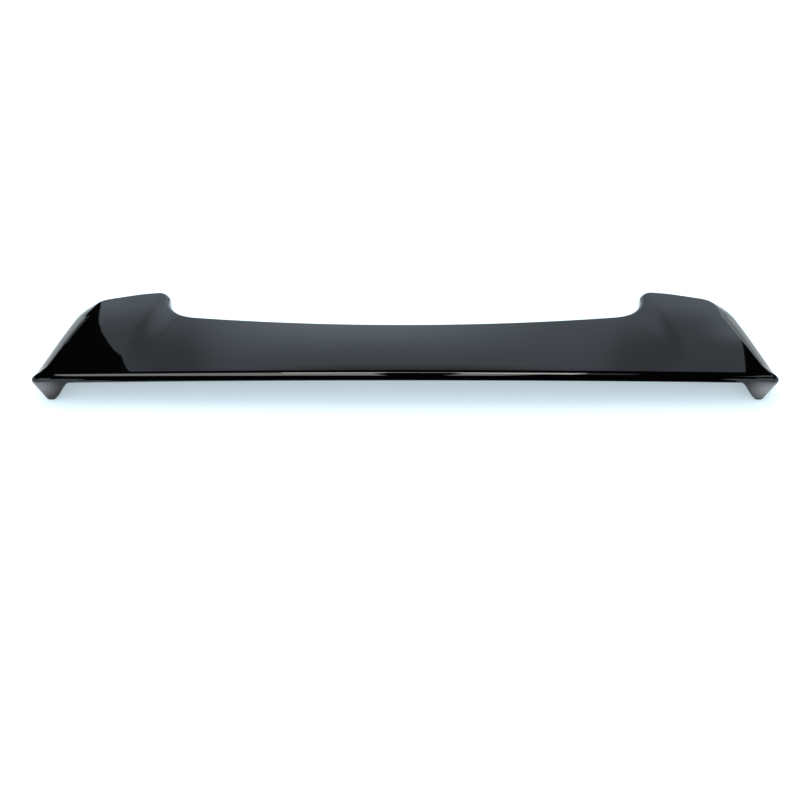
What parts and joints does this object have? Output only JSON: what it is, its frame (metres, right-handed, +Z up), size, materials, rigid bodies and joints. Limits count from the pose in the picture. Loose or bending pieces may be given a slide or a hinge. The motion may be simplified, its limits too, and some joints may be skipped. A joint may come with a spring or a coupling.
{
  "type": "tailgate spoiler",
  "caption": "Gloss moulded tailgate spoiler: shallow crowned deck with a blunt rolled trailing edge, down-turned winglet ends and arms that reach forward over the tailgate.",
  "frame": {"origin": "middle of the footprint, at the height of the winglet tips and arm pads", "axes": "+X to the right across the car, +Y forward from the trailing edge toward the car's roof, +Z up"},
  "size_m": [1.4, 0.3008, 0.0729],
  "materials": {
    "gloss_black": "high gloss lacquer with a faint orange peel"
  },
  "bodies": {
    "root": {"spoiler_moulding": "gloss_black"}
  },
  "joints": []
}
